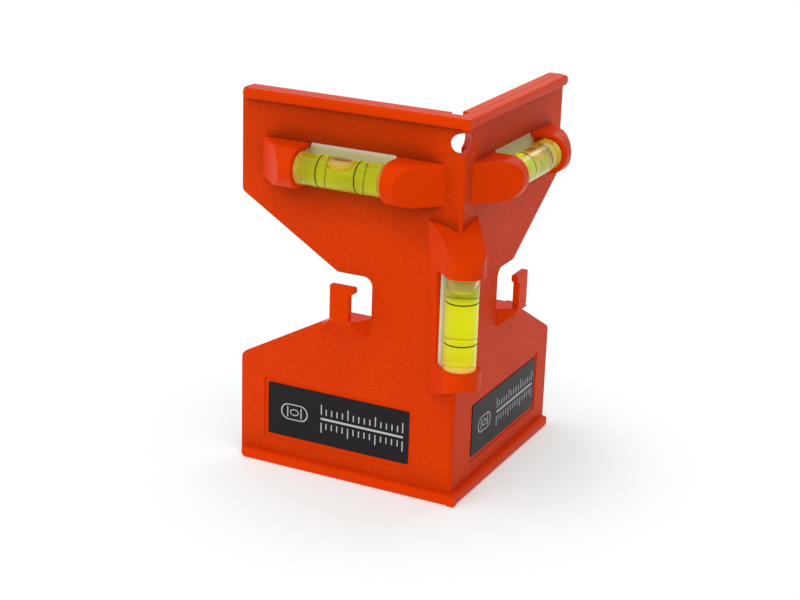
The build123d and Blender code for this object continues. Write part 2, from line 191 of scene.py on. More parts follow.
# The surroundings light the object most from the front left, and not at all from the other side
BRIGHT_SIDE = (-0.64, -0.77, 0.0)
WORLD_LIGHT = (0.0, 1.25)
# Glow that keeps the floor's shadow pale, and where the floor fades into plain white
FLOOR_LIFT = 0.22
LIFT_TINT = "#DDFFFF"
FLOOR_FADE = (0.055, 0.11)
FLOOR_RADIUS = 4.0
# Each lamp's place, width and power, and the point that they all face
LAMPS = {
    "front": ((-0.45, -1.0, 0.55), 0.7, 0.4),
    "top": ((0.25, -0.3, 1.1), 0.5, 2.6),
    "back": ((0.15, 0.95, 1.0), 0.9, 3.0),
}
LAMP_AIM = (0, 0, 0.06)
SENSOR_WIDTH = 36.0

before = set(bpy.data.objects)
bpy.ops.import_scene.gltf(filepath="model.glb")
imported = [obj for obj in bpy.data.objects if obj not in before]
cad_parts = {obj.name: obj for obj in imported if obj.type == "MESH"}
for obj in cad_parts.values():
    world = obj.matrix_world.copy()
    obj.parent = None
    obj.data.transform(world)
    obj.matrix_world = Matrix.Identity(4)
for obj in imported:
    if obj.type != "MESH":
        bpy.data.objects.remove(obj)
cad_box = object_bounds()


def colour(hex_value):
    """An sRGB hex value as linear red, green and blue."""
    parts = [int(hex_value[i : i + 2], 16) / 255 for i in (1, 3, 5)]
    return tuple(p / 12.92 if p <= 0.04045 else ((p + 0.055) / 1.055) ** 2.4 for p in parts)


def middle(node):
    """The middle of a node's box."""
    low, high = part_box(node)
    return (low + high) / 2


class ANGLELEVEL_PG_mouldings(bpy.types.PropertyGroup):
    """The orange shell and the plates behind it."""

    orange: FloatVectorProperty(
        name="Orange",
        description="Colour of the moulded plastic",
        default=colour("#DC3A02"),
        **COLOUR_RANGE,
    )
    # Painted shade: the plates' colour where the pods and the lips stand close round them
    shaded: FloatVectorProperty(
        name="Shaded orange",
        description="Colour of the plates where the pods and lips keep the light off them",
        default=colour("#8C2C02"),
        **COLOUR_RANGE,
    )
    shade_reach: FloatProperty(
        name="Shade reach",
        description="How far from a pod or a lip the plates are shaded",
        unit="LENGTH",
        default=16 * MM,
    )
    grain_width: FloatProperty(
        name="Grain width",
        description="Width of one grain of the textured plates",
        unit="LENGTH",
        default=0.8 * MM,
    )
    grain_depth: FloatProperty(
        name="Grain depth",
        description="Depth of the texture on the plates",
        unit="LENGTH",
        default=0.28 * MM,
    )
    edge_round: FloatProperty(
        name="Edge round",
        description="Radius that the mould leaves on its sharp edges",
        unit="LENGTH",
        default=0.3 * MM,
    )


class ANGLELEVEL_PG_vials(bpy.types.PropertyGroup):
    """The three vials, which are all alike."""

    bore_radius: FloatProperty(
        name="Bore radius",
        description="Radius of the bore at its middle, where the barrel is widest",
        unit="LENGTH",
        default=4.35 * MM,
    )
    bore_end_radius: FloatProperty(
        name="Bore end radius",
        description="Radius of the bore at its two ends",
        unit="LENGTH",
        default=4.2 * MM,
    )
    bore_length: FloatProperty(
        name="Bore length",
        description="Length of the hollow that the liquid fills",
        unit="LENGTH",
        default=29.0 * MM,
    )
    edge_round: FloatProperty(
        name="Edge round",
        description="Radius on the rims of the barrel and the plug",
        unit="LENGTH",
        default=0.35 * MM,
    )
    ring_spacing: FloatProperty(
        name="Ring spacing",
        description="Distance between the two ring lines",
        unit="LENGTH",
        default=13.8 * MM,
    )
    ring_width: FloatProperty(
        name="Ring width",
        description="Width of a ring line",
        unit="LENGTH",
        default=0.36 * MM,
    )
    ring_depth: FloatProperty(
        name="Ring depth",
        description="Depth of the groove that holds a ring line",
        unit="LENGTH",
        default=0.2 * MM,
    )
    acrylic: FloatVectorProperty(
        name="Acrylic",
        description="Colour that the clear barrel lets through",
        default=colour("#FEFDE8"),
        **COLOUR_RANGE,
    )
    # Painted glow: the clear barrel gives off this light though it is no lamp
    piped_density: FloatProperty(
        name="Piped light",
        description="How much of the dye's light the barrel gives off, per metre",
        default=32.0,
    )
    liquid: FloatVectorProperty(
        name="Liquid",
        description="Colour that the dyed liquid lets through",
        default=colour("#F5FA00"),
        **COLOUR_RANGE,
    )
    liquid_density: FloatProperty(
        name="Liquid density",
        description="How fast the liquid takes up light, per metre",
        default=420.0,
    )
    # Painted glow: the light that the dye gives back is a fixed emission, whatever light falls on
    # it
    glow: FloatVectorProperty(
        name="Glow",
        description="Colour of the light that the dye gives back",
        default=colour("#FFF300"),
        **COLOUR_RANGE,
    )
    glow_density: FloatProperty(
        name="Glow density",
        description="How much light the dye gives back, per metre",
        default=8.0,
    )
    # Painted light: the corner vial's glow is set stronger because it catches more light
    upright_glow_density: FloatProperty(
        name="Upright glow density",
        description="The same for the corner vial, which stands in the open and catches more light",
        default=47.0,
    )
    strip: FloatVectorProperty(
        name="Strip",
        description="Colour of the white strips behind the vials",
        default=colour("#F2EAE6"),
        **COLOUR_RANGE,
    )
    # Painted light: the yellow-green cast that light through the dyed liquid throws on the strips
    # near the vials
    dye_lit_strip: FloatVectorProperty(
        name="Dyed strip",
        description="Colour of the strips close to the vials",
        default=colour("#D2CDA0"),
        **COLOUR_RANGE,
    )
    ring: FloatVectorProperty(
        name="Ring",
        description="Colour of the ring lines",
        default=colour("#080A05"),
        **COLOUR_RANGE,
    )


class ANGLELEVEL_PG_bubbles(bpy.types.PropertyGroup):
    """The air bubbles."""

    length: FloatProperty(
        name="Length",
        description="Length of a lying bubble",
        unit="LENGTH",
        default=9.8 * MM,
    )
    width: FloatProperty(
        name="Width",
        description="Width of a lying bubble across its vial",
        unit="LENGTH",
        default=7.5 * MM,
    )
    level: FloatProperty(
        name="Level",
        description="Height of the rim of a lying bubble above the vial's axis",
        unit="LENGTH",
        default=1.9 * MM,
    )
    belly: FloatProperty(
        name="Belly",
        description="How far a lying bubble hangs below its rim",
        unit="LENGTH",
        default=1.1 * MM,
    )
    film: FloatProperty(
        name="Film",
        description="Thickness of the liquid between a bubble and the bore",
        unit="LENGTH",
        default=0.1 * MM,
    )
    height: FloatProperty(
        name="Height",
        description="Height of the bubble in the upright vial",
        unit="LENGTH",
        default=4.9 * MM,
    )
    dome: FloatProperty(
        name="Dome",
        description="How far the underside of the upright bubble hangs down",
        unit="LENGTH",
        default=1.5 * MM,
    )


class ANGLELEVEL_PG_labels(bpy.types.PropertyGroup):
    """The black labels and their plain print."""

    film: FloatVectorProperty(
        name="Film",
        description="Colour of the label film",
        default=colour("#211D20"),
        **COLOUR_RANGE,
    )
    ink: FloatVectorProperty(
        name="Ink",
        description="Colour of the printed lines",
        default=colour("#BDB9C2"),
        **COLOUR_RANGE,
    )
    line: FloatProperty(
        name="Line",
        description="Width of the printed line",
        unit="LENGTH",
        default=0.75 * MM,
    )
    line_length: FloatProperty(
        name="Line length",
        description="Length of the printed line",
        unit="LENGTH",
        default=31.0 * MM,
    )
    ticks: IntProperty(
        name="Ticks",
        description="Number of divisions of the printed scale",
        min=1,
        default=15,
    )


class ANGLELEVEL_PG_stage(bpy.types.PropertyGroup):
    """The floor, the lamps and the camera."""

    azimuth: FloatProperty(
        name="Azimuth",
        description="Turn of the camera from the front of the left wing",
        unit="ROTATION",
        default=math.radians(26.0),
    )
    elevation: FloatProperty(
        name="Elevation",
        description="Height of the camera above the level",
        unit="ROTATION",
        default=math.radians(19.05),
    )
    roll: FloatProperty(
        name="Roll",
        description="Roll of the camera",
        unit="ROTATION",
        default=math.radians(1.95),
    )
    distance: FloatProperty(
        name="Distance",
        description="Distance from the camera to the point that it looks at",
        unit="LENGTH",
        default=573.2 * MM,
    )
    target: FloatVectorProperty(
        name="Target",
        description="Point that the camera looks at",
        subtype="XYZ",
        unit="LENGTH",
        default=(16.3 * MM, -40.34 * MM, 69.8 * MM),
    )
    focal_length: FloatProperty(
        name="Focal length",
        description="Focal length of the lens in millimetres",
        default=81.22,
    )
    floor: FloatVectorProperty(
        name="Floor",
        description="Colour of the floor",
        default=colour("#EFEFEF"),
        **COLOUR_RANGE,
    )


GROUPS = {
    "mouldings": ANGLELEVEL_PG_mouldings,
    "vials": ANGLELEVEL_PG_vials,
    "bubbles": ANGLELEVEL_PG_bubbles,
    "labels": ANGLELEVEL_PG_labels,
    "stage": ANGLELEVEL_PG_stage,
}


def settings(group):
    """The properties of one group, on the scene."""
    return getattr(bpy.context.scene, f"angle_level_{group}")


def add(tree, kind, inputs=(), output=0, **choices):
    """Adds a node and gives one of its outputs, or all of them for None. Inputs are values, or the
    sockets that feed them, by name or in the node's own order."""
    node = tree.nodes.new(f"ShaderNode{kind}")
    for name, value in choices.items():
        setattr(node, name, value)
    for key, value in inputs.items() if isinstance(inputs, dict) else enumerate(inputs):
        socket = node.inputs[key]
        if isinstance(value, bpy.types.NodeSocket):
            tree.links.new(value, socket)
        elif socket.type == "RGBA" and len(value) == 3:
            socket.default_value = (*value, 1)
        else:
            socket.default_value = value
    return node.outputs[output] if node.outputs and output is not None else node.outputs


def new_material(name):
    """An empty material and its node tree."""
    material = bpy.data.materials.new(name)
    material.use_nodes = True
    material.node_tree.nodes.clear()
    return material, material.node_tree


def seam_dirt(tree, axes):
    """1 along the seam between each plate and its back plate, where it shows on top of the lips."""
    seam = PLATE_FACE - PLATE_THICKNESS
    start = PLATE_FACE - BACK_PLATE_START
    right = add(tree, "Math", [axes["X"], seam, SEAM_REACH], operation="COMPARE")
    past = add(tree, "Math", [axes["Y"], -start], operation="GREATER_THAN")
    right = add(tree, "Math", [right, past], operation="MULTIPLY")
    left = add(tree, "Math", [axes["Y"], -seam, SEAM_REACH], operation="COMPARE")
    past = add(tree, "Math", [axes["X"], start], operation="LESS_THAN")
    left = add(tree, "Math", [left, past], operation="MULTIPLY")
    either = add(tree, "Math", [right, left], operation="MAXIMUM")
    on_top = add(tree, "Math", [axes["Z"], cad_box[1].z, PLATE_THICKNESS / 2], operation="COMPARE")
    return add(tree, "Math", [either, on_top], operation="MULTIPLY")


def moulded_abs():
    """Moulded ABS. The plates come from a spark-eroded face of the mould, which leaves a fine dull
    grain. The pods, lips and hooks come from polished faces, so they are smooth and a little
    glossier. Real grain is about 0.2 mm wide, too fine to show, so it is drawn as coarse as it
    needs to be."""
    chosen = settings("mouldings")
    material, tree = new_material("moulded_abs_orange")
    place = add(tree, "TexCoord", output="Object")
    axes = add(tree, "SeparateXYZ", [place], None)
    on_right = add(tree, "Math", [axes["X"], PLATE_FACE, FACE_REACH], operation="COMPARE")
    on_left = add(tree, "Math", [axes["Y"], -PLATE_FACE, FACE_REACH], operation="COMPARE")
    plates = add(tree, "Math", [on_right, on_left], operation="MAXIMUM")
    grain = add(
        tree,
        "TexNoise",
        {
            "Vector": place,
            "Scale": 1 / chosen.grain_width,
            "Detail": GRAIN_DETAIL,
            "Roughness": GRAIN_ROUGHNESS,
        },
    )
    # The colour wanders a little where the melt cooled unevenly, and darkens in the grain's pits
    clouds = add(tree, "TexNoise", {"Vector": place, "Scale": 1 / CLOUD_WIDTH})
    clouds = add(tree, "MapRange", [clouds, *CLOUD_SPAN, *CLOUD_BRIGHTNESS])
    polish = add(tree, "MapRange", [plates, 0, 1, *BRIGHTNESS])
    base = add(tree, "Math", [clouds, polish], operation="MULTIPLY")
    dirt = seam_dirt(tree, axes)
    base = add(tree, "Math", [dirt, -SEAM_DARKNESS, base], operation="MULTIPLY_ADD")
    height = add(tree, "Math", [grain, GRAIN_MIDDLE], operation="SUBTRACT")
    # Painted sheen and shade: the grain's lighter peaks and darker pits are painted stronger on the
    # right plate, which the light only grazes
    grazed = add(tree, "Math", [on_right, GRAZED_GRAIN, plates], operation="MULTIPLY_ADD")
    pits = add(tree, "Math", [height, grazed], operation="MULTIPLY")
    level = add(tree, "Math", [pits, GRAIN_CONTRAST, base], operation="MULTIPLY_ADD")
    # Painted shade: where the pods and the lips stand close round a plate, an occlusion test blends
    # its colour towards the shaded orange
    opening = add(tree, "AmbientOcclusion", {"Distance": chosen.shade_reach}, "AO", samples=8)
    deep = add(tree, "MapRange", [opening, *OPENNESS, 0, DEEPEST_SHADE])
    share = add(tree, "MapRange", [axes["Z"], *SHADE_RISE, LOW_SHADE, 1])
    weaker = add(tree, "Math", [on_right, RIGHT_SHADE], operation="MULTIPLY")
    weight = add(tree, "Math", [on_left, weaker], operation="MAXIMUM")
    weight = add(tree, "Math", [weight, share], operation="MULTIPLY")
    depth = add(tree, "Math", [deep, weight], operation="MULTIPLY")
    colours = {0: depth, 6: tuple(chosen.orange), 7: tuple(chosen.shaded)}
    plastic = add(tree, "Mix", colours, 2, data_type="RGBA")
    rounded = add(tree, "Bevel", {"Radius": chosen.edge_round}, samples=6)
    grained = {
        "Strength": add(tree, "MapRange", [plates, 0, 1, *GRAIN_STRENGTH]),
        "Distance": chosen.grain_depth,
        "Height": grain,
        "Normal": rounded,
    }
    body = add(
        tree,
        "BsdfPrincipled",
        {
            "Base Color": add(tree, "HueSaturation", {"Color": plastic, "Value": level}),
            "Roughness": add(tree, "MapRange", [plates, 0, 1, *ROUGHNESS]),
            "Normal": add(tree, "Bump", grained),
            "IOR": add(tree, "MapRange", [plates, 0, 1, *INDEX]),
            "Specular Tint": colour(PLASTIC_SHINE),
        },
    )
    add(tree, "OutputMaterial", {"Surface": body})
    return material


def strip_plastic(side):
    """Moulded polystyrene strip: white and smooth, with a soft shine and hardly any texture. The
    part near the vial is painted with the yellow-green light that the dyed liquid casts on it."""
    chosen = settings("vials")
    material, tree = new_material(f"moulded_polystyrene_white_{side}")
    place = add(tree, "TexCoord", output="Object")
    along, across = VIAL_AXES[side]
    low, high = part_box(f"{side}_vial_backing")
    half_width = CORNER_STRIP_HALF if side == "corner" else (high.z - low.z) / 2
    centre = middle(f"{side}_vial_tube")
    offset = add(tree, "VectorMath", [place, centre], operation="SUBTRACT")
    beside = add(tree, "VectorMath", [offset, across], "Value", operation="DOT_PRODUCT")
    beside = add(tree, "Math", [beside], operation="ABSOLUTE")
    # Painted light: the dye's yellow-green cast is painted on the strip beside the vial and along
    # its bore
    edge = [share * half_width for share in DYE_LIGHT_REACH]
    clean = add(tree, "MapRange", [beside, *edge], interpolation_type="SMOOTHSTEP")
    onward = add(tree, "VectorMath", [offset, along], "Value", operation="DOT_PRODUCT")
    onward = add(tree, "Math", [onward], operation="ABSOLUTE")
    ends = [chosen.bore_length / 2 + past for past in DYE_LIGHT_END]
    unreached = [onward, *ends, 1 - DYE_LIGHT_SHARE[side], 1]
    unreached = add(tree, "MapRange", unreached, interpolation_type="SMOOTHSTEP")
    clean = add(tree, "Math", [clean, unreached], operation="MAXIMUM")
    colours = {0: clean, 6: tuple(chosen.dye_lit_strip), 7: tuple(chosen.strip)}
    white = add(tree, "Mix", colours, 2, data_type="RGBA")
    waves = add(tree, "TexNoise", {"Vector": place, "Scale": 1 / STRIP_WIDTH})
    rounded = add(tree, "Bevel", {"Radius": STRIP_EDGE}, samples=4)
    strength, depth = STRIP_BUMP
    waves = {"Strength": strength, "Distance": depth, "Height": waves, "Normal": rounded}
    normal = add(tree, "Bump", waves)
    surface = {"Base Color": white, "Roughness": STRIP_ROUGHNESS, "Normal": normal}
    add(tree, "OutputMaterial", {"Surface": add(tree, "BsdfPrincipled", surface)})
    return material


def clear(name, colour_through, index, roughness, shine=(1.0, 1.0, 1.0)):
    """A clear body that lets the lamps through, so that what lies inside it is lit."""
    material, tree = new_material(name)
    body = add(
        tree,
        "BsdfPrincipled",
        {
            "Base Color": colour_through,
            "Roughness": roughness,
            "IOR": index,
            "Specular Tint": shine,
            "Transmission Weight": 1.0,
        },
    )
    passing = add(tree, "BsdfTransparent", {"Color": colour_through})
    shadow = add(tree, "LightPath", output="Is Shadow Ray")
    return material, tree, add(tree, "MixShader", [shadow, body, passing])


def acrylic():
    """Clear cast acrylic, turned and polished: it bends light strongly. The dye's light runs along
    it, painted in as a pale yellow glow, so its ends look a pale yellow."""
    chosen = settings("vials")
    look = (tuple(chosen.acrylic), ACRYLIC_INDEX, ACRYLIC_ROUGHNESS, colour(ACRYLIC_SHINE))
    material, tree, skin = clear("polished_acrylic_clear", *look)
    piped = add(tree, "Emission", {"Color": colour(PIPED_GLOW), "Strength": chosen.piped_density})
    add(tree, "OutputMaterial", {"Surface": skin, "Volume": piped})
    return material


def dyed_liquid(name, glow_density, shade_height=None):
    """Mineral spirit with a fluorescent dye: it takes up blue at once, lets yellow-green through
    and gives some of the light it took back as yellow, painted in as a glow of fixed strength, so
    it is brighter than the strip behind."""
    chosen = settings("vials")
    material, tree, skin = clear(name, (1, 1, 1), SPIRIT_INDEX, 0.0, colour(SPIRIT_SHINE))
    dye = {"Color": tuple(chosen.liquid), "Density": chosen.liquid_density}
    taken = add(tree, "VolumeAbsorption", dye)
    level = glow_density
    if shade_height is not None:
        # Painted shade: above this height the pod keeps light off the dye, so its painted glow is
        # weaker there
        up = add(tree, "SeparateXYZ", [add(tree, "TexCoord", output="Object")], "Z")
        edge = (shade_height, shade_height + POD_SHADE_EDGE)
        level = add(tree, "MapRange", [up, *edge, glow_density, POD_SHADE_GLOW])
    given = add(tree, "Emission", {"Color": tuple(chosen.glow), "Strength": level})
    both = add(tree, "AddShader", [taken, given])
    add(tree, "OutputMaterial", {"Surface": skin, "Volume": both})
    return material


def air(side):
    """Air in the liquid: light leaves the liquid at its skin, so its index is the liquid's turned
    over. Part of its skin is a painted reflection in pinkish grey, which on a lying bubble turns to
    the dye's yellow at the round rim and to a dark brown along its crest at the bore."""
    material, tree, skin = clear(f"air_in_spirit_{side}", (1, 1, 1), 1 / SPIRIT_INDEX, 0.0)
    painted_skin = colour(PAINTED_REFLECTION)
    if side != "corner":
        chosen = settings("bubbles")
        place = add(tree, "TexCoord", output="Object")
        centre = middle(f"{side}_vial_bubble")
        offset = add(tree, "VectorMath", [place, centre], operation="SUBTRACT")
        sizes = (chosen.length, chosen.width) if side == "left" else (chosen.width, chosen.length)
        halves = (2 / sizes[0], 2 / sizes[1], 0)
        shares = add(tree, "VectorMath", [offset, halves], operation="MULTIPLY")
        out = add(tree, "VectorMath", [shares], "Value", operation="LENGTH")
        rim = add(tree, "MapRange", [out, *RIM_START], interpolation_type="SMOOTHSTEP")
        painted_skin = add(tree, "Mix", {0: rim, 6: painted_skin, 7: colour(PAINTED_RIM)}, 2, data_type="RGBA")
        crest = middle(f"{side}_vial_tube").z + settings("vials").bore_radius - chosen.film
        up = add(tree, "SeparateXYZ", [place], "Z")
        ridge = add(tree, "MapRange", [up, *(crest - drop for drop in CREST_DROP)])
        painted_skin = add(tree, "Mix", {0: ridge, 6: painted_skin, 7: colour(PAINTED_CREST)}, 2, data_type="RGBA")
    # Painted reflection: a diffuse skin in these colours stands in for what the bubble's skin
    # reflects
    painted_skin = add(tree, "BsdfDiffuse", {"Color": painted_skin})
    add(tree, "OutputMaterial", {"Surface": add(tree, "MixShader", [PAINTED_REFLECTION_SHARE, skin, painted_skin])})
    return material


def ring_enamel():
    """Black enamel wiped into a groove: nearly black, with a dull shine and an uneven coat."""
    material, tree = new_material("wiped_enamel_black")
    place = add(tree, "TexCoord", output="Object")
    coat = add(tree, "TexNoise", {"Vector": place, "Scale": 1 / ENAMEL_WIDTH})
    rough = add(tree, "MapRange", [coat, 0, 1, *ENAMEL_ROUGHNESS])
    ring = tuple(settings("vials").ring)
    body = add(tree, "BsdfPrincipled", {"Base Color": ring, "Roughness": rough, "IOR": DULL_INDEX})
    add(tree, "OutputMaterial", {"Surface": body})
    return material


def label_film():
    """Polyester label film with a satin laminate: near black, with a soft even sheen."""
    material, tree = new_material("satin_polyester_film_black")
    place = add(tree, "TexCoord", output="Object")
    wave = add(tree, "TexNoise", {"Vector": place, "Scale": 1 / FILM_WIDTH})
    strength, depth = FILM_BUMP
    body = add(
        tree,
        "BsdfPrincipled",
        {
            "Base Color": tuple(settings("labels").film),
            "Roughness": add(tree, "MapRange", [wave, 0, 1, *FILM_ROUGHNESS]),
            "Normal": add(tree, "Bump", {"Strength": strength, "Distance": depth, "Height": wave}),
            "IOR": DULL_INDEX,
        },
    )
    add(tree, "OutputMaterial", {"Surface": body})
    return material


def label_ink():
    """Screen-printed silver-grey ink: flat and even, with a trace of metal flake."""
    material, tree = new_material("screen_ink_silver_grey")
    place = add(tree, "TexCoord", output="Object")
    flake = add(tree, "TexNoise", {"Vector": place, "Scale": 1 / INK_WIDTH})
    rough = add(tree, "MapRange", [flake, 0, 1, *INK_ROUGHNESS])
    ink = tuple(settings("labels").ink)
    surface = {"Base Color": ink, "Roughness": rough, "Metallic": INK_METAL}
    add(tree, "OutputMaterial", {"Surface": add(tree, "BsdfPrincipled", surface)})
    return material


def dress(names, material):
    """Gives the named pieces of the solid model a material."""
    for name in names:
        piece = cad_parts[name]
        piece.data.materials.clear()
        piece.data.materials.append(material)


def vial_place(side):
    """Turns and moves a piece drawn along X, with its top to +Y, into its vial."""
    along, top = (Vector(v) for v in VIAL_AXES[side])
    out = along.cross(top)
    turn = Matrix((along, top, out)).transposed().to_4x4()
    return Matrix.Translation(middle(f"{side}_vial_tube")) @ turn


def keep(name, mesh, side, body, material, sharp=SHARP_ANGLE):
    """Finishes a mesh as a piece of one vial, riding on a body."""
    shape = bmesh.new()
    shape.from_mesh(mesh)
    shape.transform(vial_place(side))
    bmesh.ops.recalc_face_normals(shape, faces=shape.faces)
    if shape.calc_volume(signed=True) < 0:
        bmesh.ops.reverse_faces(shape, faces=shape.faces)
    shape.to_mesh(mesh)
    shape.free()
    return show(name, mesh, body, material, sharp)


def show(name, mesh, body, material, sharp=SHARP_ANGLE):
    """Puts a mesh in the scene as a piece with its material, riding on a body."""
    piece = bpy.data.objects.new(name, mesh)
    bpy.context.scene.collection.objects.link(piece)
    mesh.materials.append(material)
    mesh.shade_smooth()
    mesh.set_sharp_from_angle(angle=sharp)
    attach(piece, body)
    return piece


def turned(name, profile, side, material):
    """A turned piece of one vial that stays with the frame."""
    return keep(name, lathe(name, profile), side, "frame", material)


def circle(turns):
    """The angles of the points of a full circle."""
    return [2 * math.pi * i / turns for i in range(turns)]


def lathe(name, profile, turns=128):
    """A closed surface turned round X from (along, radius) points, from axis to axis."""
    mesh = bpy.data.meshes.new(name)
    shape = bmesh.new()
    rings = []
    for along, radius in profile:
        spots = [(0, 0)]
        if radius > 0:
            spots = [(radius * math.cos(a), radius * math.sin(a)) for a in circle(turns)]
        rings.append([shape.verts.new((along, *spot)) for spot in spots])
    for first, second in zip(rings, rings[1:]):
        bridge(shape, first, second)
    shape.to_mesh(mesh)
    shape.free()
    return mesh


def bridge(shape, first, second):
    """Faces between two rings of vertices, either of which may be a single point."""
    count = max(len(first), len(second))
    for i in range(count):
        j = (i + 1) % count
        if len(first) == 1:
            shape.faces.new((first[0], second[j], second[i]))
        elif len(second) == 1:
            shape.faces.new((first[i], first[j], second[0]))
        else:
            shape.faces.new((first[i], first[j], second[j], second[i]))


def quarter(centre, radius, start, steps=5):
    """Points of a quarter circle in a profile, from an angle on, given in degrees."""
    angles = [math.radians(start + 90 * i / steps) for i in range(steps + 1)]
    return [(centre[0] + radius * math.cos(a), centre[1] + radius * math.sin(a)) for a in angles]


def barrel(start, end, spread, steps=24):
    """Profile points of the bore's barrel shape, made wider by a spread."""
    chosen = settings("vials")
    half = chosen.bore_length / 2
    rise = chosen.bore_radius - chosen.bore_end_radius
    places = [start + (end - start) * i / steps for i in range(steps + 1)]
    return [(x, chosen.bore_radius - rise * min(1, (x / half) ** 2) + spread) for x in places]


def make_tubes():
    """The clear barrels, their plugs and the ring lines let into them."""
    chosen = settings("vials")
    clear_stuff = acrylic()
    enamel = ring_enamel()
    low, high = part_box("right_vial_tube")
    half = (high.y - low.y) / 2
    radius = (high.z - low.z) / 2
    edge = chosen.edge_round
    bore = chosen.bore_length / 2
    wide = chosen.bore_end_radius + SEAM
    plug_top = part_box("corner_vial_plug")[1].z - middle("corner_vial_tube").z
    groove = radius - chosen.ring_depth
    tube_profile = [(-half, 0), *reversed(quarter((-half + edge, radius - edge), edge, 90))]
    for place in (-chosen.ring_spacing / 2, chosen.ring_spacing / 2):
        walls = (place - chosen.ring_width / 2, place + chosen.ring_width / 2)
        one, other = walls
        tube_profile += [(one, radius), (one, groove), (other, groove), (other, radius)]
    tube_profile += [*reversed(quarter((half - edge, radius - edge), edge, 0))]
    tube_profile += [(half, chosen.bore_end_radius), *barrel(bore, -bore, 0), (-bore, 0)]
    plug_profile = [(bore + SEAM, 0), (bore + SEAM, wide), (plug_top - edge, wide)]
    plug_profile += [*reversed(quarter((plug_top - edge, wide - edge), edge, 0))][1:]
    plug_profile += [(plug_top, wide / 2), (plug_top - edge, wide / 2 - edge), (plug_top - edge, 0)]
    for side in SIDES:
        tube = turned(f"{side}_barrel", tube_profile, side, clear_stuff)
        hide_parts(f"{side}_vial_tube")
        plug = turned(f"{side}_plug", plug_profile, side, clear_stuff)
        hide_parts(f"{side}_vial_plug")
        rings = ring_lines(f"{side}_rings", radius)
        rings = keep(f"{side}_rings", rings, side, "frame", enamel)
        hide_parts(f"{side}_vial_rings")


def ring_lines(name, radius, turns=128):
    """Both ring lines as flat bands that fill their grooves."""
    chosen = settings("vials")
    mesh = bpy.data.meshes.new(name)
    shape = bmesh.new()
    inner = radius - chosen.ring_depth - SEAM
    outer = radius - SEAM
    half = chosen.ring_width / 2 + SEAM / 2
    for place in (-chosen.ring_spacing / 2, chosen.ring_spacing / 2):
        bands = []
        for along, r in ((-half, inner), (-half, outer), (half, outer), (half, inner)):
            spots = [(place + along, r * math.cos(a), r * math.sin(a)) for a in circle(turns)]
            bands.append([shape.verts.new(spot) for spot in spots])
        for first, second in zip(bands, bands[1:] + bands[:1]):
            bridge(shape, first, second)
    shape.to_mesh(mesh)
    shape.free()
    return mesh


def make_liquids():
    """The liquid that fills each bore, a hair wider than it so that no air shows between them."""
    chosen = settings("vials")
    lying = dyed_liquid("dyed_spirit_lying", chosen.glow_density)
    upper_ring = middle("corner_vial_tube").z + chosen.ring_spacing / 2
    standing = dyed_liquid("dyed_spirit_standing", chosen.upright_glow_density, upper_ring)
    half = chosen.bore_length / 2
    wall = barrel(-half, half, LIQUID_SEAM)
    profile = [(-half - LIQUID_SEAM, 0), (-half - LIQUID_SEAM, wall[0][1]), *wall]
    profile += [(half + 1.5 * LIQUID_SEAM, wall[-1][1]), (half + 1.5 * LIQUID_SEAM, 0)]
    for side in SIDES:
        stuff = standing if side == "corner" else lying
        piece = turned(f"{side}_liquid", profile, side, stuff)
        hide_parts(f"{side}_vial_liquid")


def lying_bubble(name, turns=96, rings=40):
    """The bubble of a level vial: its top follows the bore and its rim and underside are round."""
    chosen = settings("bubbles")
    roof = settings("vials").bore_radius - chosen.film
    mesh = bpy.data.meshes.new(name)
    shape = bmesh.new()
    loops = []
    for k in range(rings + 1):
        turn = math.pi * k / rings
        out = math.sqrt(max(0, math.sin(turn)))
        lift = math.copysign(math.sqrt(abs(math.cos(turn))), math.cos(turn))
        loop = []
        for a in circle(turns) if 0 < k < rings else [0]:
            x = chosen.length / 2 * out * math.cos(a)
            z = chosen.width / 2 * out * math.sin(a)
            top = math.sqrt(roof**2 - z**2) - ROOF_FALL * (x / (chosen.length / 2)) ** 2
            bottom = chosen.level - chosen.belly * (1 - out**2)
            y = (top + bottom) / 2 + (top - bottom) / 2 * lift
            loop.append(shape.verts.new((x, y, z)))
        loops.append(loop)
    for first, second in zip(loops, loops[1:]):
        bridge(shape, first, second)
    shape.to_mesh(mesh)
    shape.free()
    return mesh


def standing_bubble(name, steps=16):
    """The bubble of the upright vial: a plug of air at the top of the bore with a domed base."""
    chosen = settings("bubbles")
    radius = settings("vials").bore_end_radius - chosen.film
    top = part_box("corner_vial_bubble")[1].z - middle("corner_vial_tube").z
    bottom = top - chosen.height
    ball = (radius**2 + chosen.dome**2) / (2 * chosen.dome)
    reach = math.asin(min(1, radius / ball))
    profile = [(top, 0), *quarter((top - UPRIGHT_ROUND, radius - UPRIGHT_ROUND), UPRIGHT_ROUND, 0)]
    for a in (reach * (1 - i / steps) for i in range(steps)):
        profile.append((bottom + ball - ball * math.cos(a), ball * math.sin(a)))
    profile.append((bottom, 0))
    return lathe(name, profile, turns=96)


def make_bubbles():
    """The three bubbles, each riding on its own body."""
    for side in SIDES:
        name = f"{side}_bubble_air"
        mesh = standing_bubble(name) if side == "corner" else lying_bubble(name)
        stuff = air(side)
        piece = keep(name, mesh, side, f"{side}_bubble", stuff, BUBBLE_SHARP_ANGLE)
        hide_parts(f"{side}_vial_bubble")


def flat_bar(shape, x, y, half_width, half_height):
    """A thin printed bar round a spot, lying on local Z zero."""
    corners = ((-1, -1), (1, -1), (1, 1), (-1, 1))
    spots = [(x + i * half_width, y + j * half_height) for i, j in corners]
    lower = [shape.verts.new((*spot, 0)) for spot in spots]
    upper = [shape.verts.new((*spot, PRINT_THICKNESS)) for spot in spots]
    bridge(shape, lower, upper)
    shape.faces.new(upper)
    shape.faces.new(lower[::-1])


